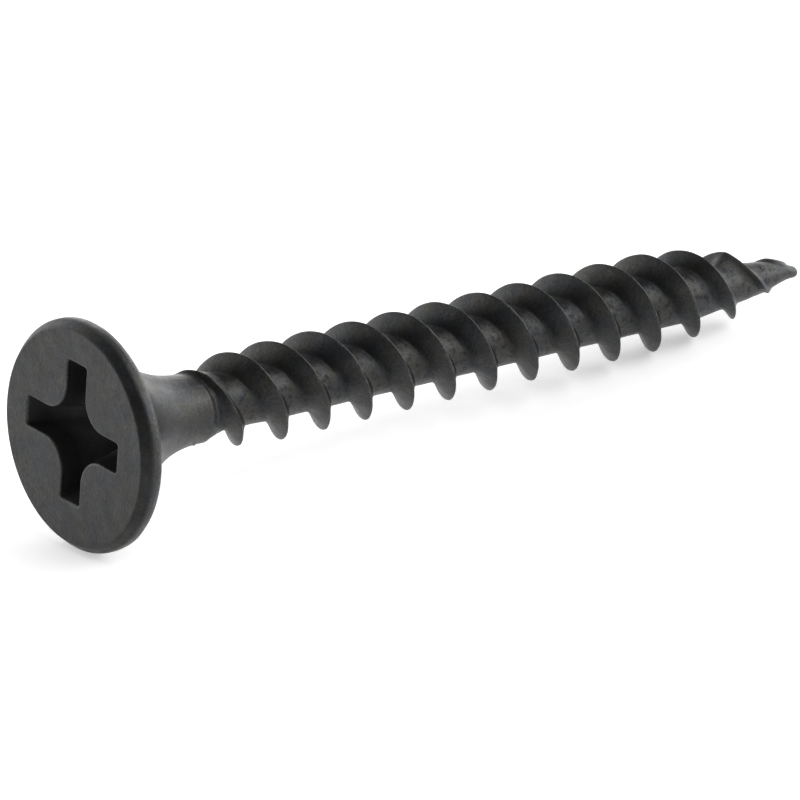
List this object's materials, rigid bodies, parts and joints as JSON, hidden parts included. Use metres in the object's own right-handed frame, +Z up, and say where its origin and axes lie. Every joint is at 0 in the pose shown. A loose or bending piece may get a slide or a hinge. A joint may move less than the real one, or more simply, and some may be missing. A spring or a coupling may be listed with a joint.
{
  "type": "wood screw",
  "caption": "Bugle-head wood screw with a cross recess, a short smooth neck, a right-hand twin-start thread and a sharp tapered point, in black phosphated steel.",
  "frame": {"origin": "on the screw's axis, halfway between the head's face and the tip, which is also the centre of the bounding box; the screw is stored lying on its side", "axes": "+Y along the screw's axis from the head towards the point, so the head's face looks along -Y; +Z up; one wing of the cross recess points 5 degrees from +Z towards +X"},
  "size_m": [0.0084, 0.032, 0.0084],
  "materials": {
    "black_phosphated_steel": "thin satin black phosphate and oil coat over hardened steel wire, slightly mottled, worn lighter on the thread crests and at the point"
  },
  "bodies": {
    "root": {"screw": "black_phosphated_steel"}
  },
  "joints": []
}
